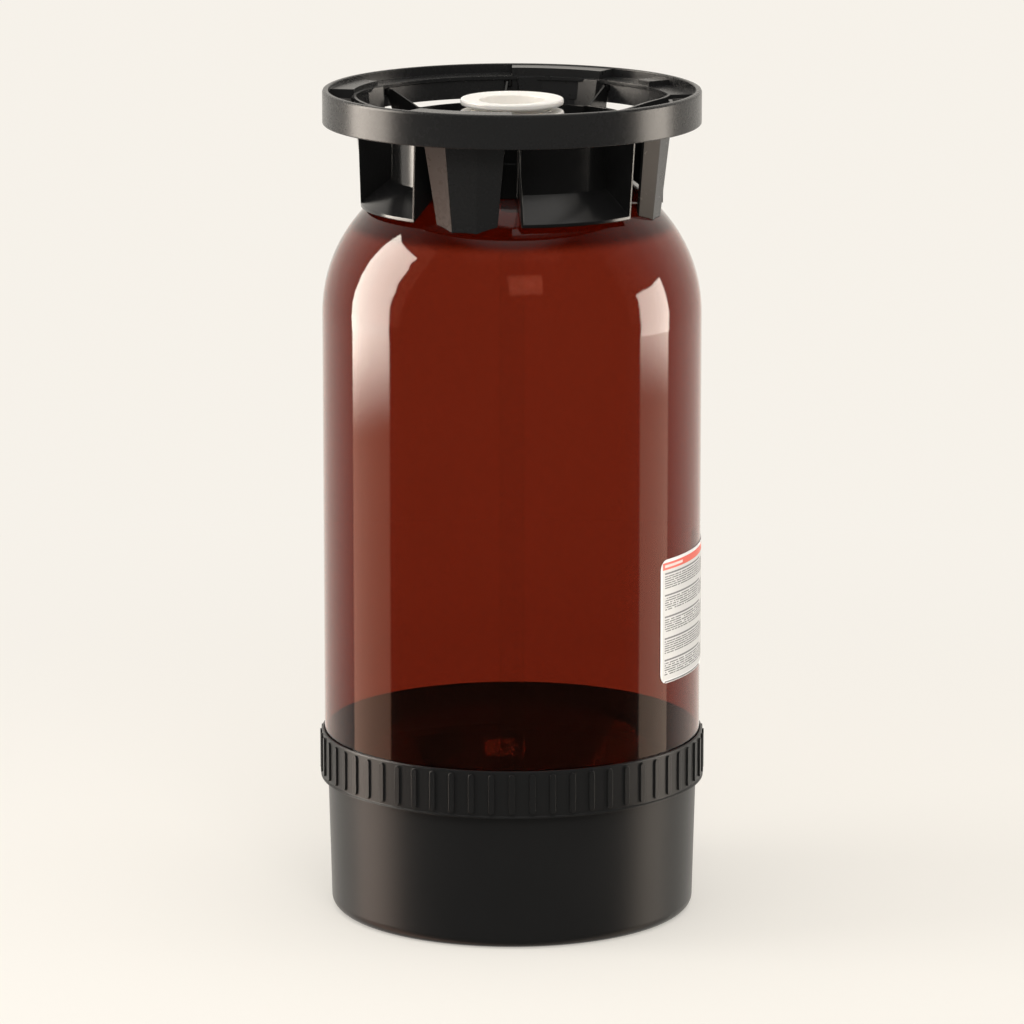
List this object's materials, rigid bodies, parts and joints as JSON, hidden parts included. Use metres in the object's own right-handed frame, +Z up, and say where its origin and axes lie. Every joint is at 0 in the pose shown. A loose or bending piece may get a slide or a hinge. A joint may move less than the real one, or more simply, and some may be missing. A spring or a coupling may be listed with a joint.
{
  "type": "beer keg",
  "caption": "One-way beer keg: amber blown bottle in a ribbed base cup, with a four-scoop carrying handle and a sliding-coupler valve fitting.",
  "frame": {"origin": "middle of the floor under the keg, on its axis", "axes": "+Z up along the keg's axis, -Y towards the front, +X to the right"},
  "size_m": [0.2474, 0.2474, 0.531],
  "materials": {
    "amber_pet": "clear amber blown plastic",
    "black_pp": "satin black moulded plastic",
    "white_pp": "satin white moulded plastic",
    "clear_tube": "translucent",
    "seal_rubber": "matte",
    "spring_steel": "drawn wire",
    "label_film": "printed film"
  },
  "bodies": {
    "root": {"bottle": "amber_pet", "base_cup": "black_pp", "handle_ring": "black_pp", "grip_insert": "black_pp", "neck_closure": "white_pp", "closure_gasket": "seal_rubber", "fitting_body": "white_pp", "body_seal": "seal_rubber", "spring_cage": "white_pp", "cage_clip": "spring_steel", "main_spring": "spring_steel", "label": "label_film"},
    "spear": {"valve_head": "white_pp", "main_seal": "seal_rubber", "spring_seat": "white_pp", "product_spring": "spring_steel", "dip_tube": "clear_tube", "tube_collar": "spring_steel"},
    "product_valve": {"product_poppet": "white_pp", "poppet_seal": "seal_rubber"}
  },
  "joints": [
    {"name": "gas_valve_press", "type": "slide", "parent": "root", "child": "spear", "axis": [0, 0, -1], "range_m": [0, 0.007], "stiffness_N_per_m": 2500, "springref_m": -0.012, "deforming": ["main_spring"]},
    {"name": "product_valve_press", "type": "slide", "parent": "spear", "child": "product_valve", "axis": [0, 0, -1], "range_m": [0, 0.005], "stiffness_N_per_m": 900, "springref_m": -0.008, "deforming": ["product_spring"]}
  ]
}
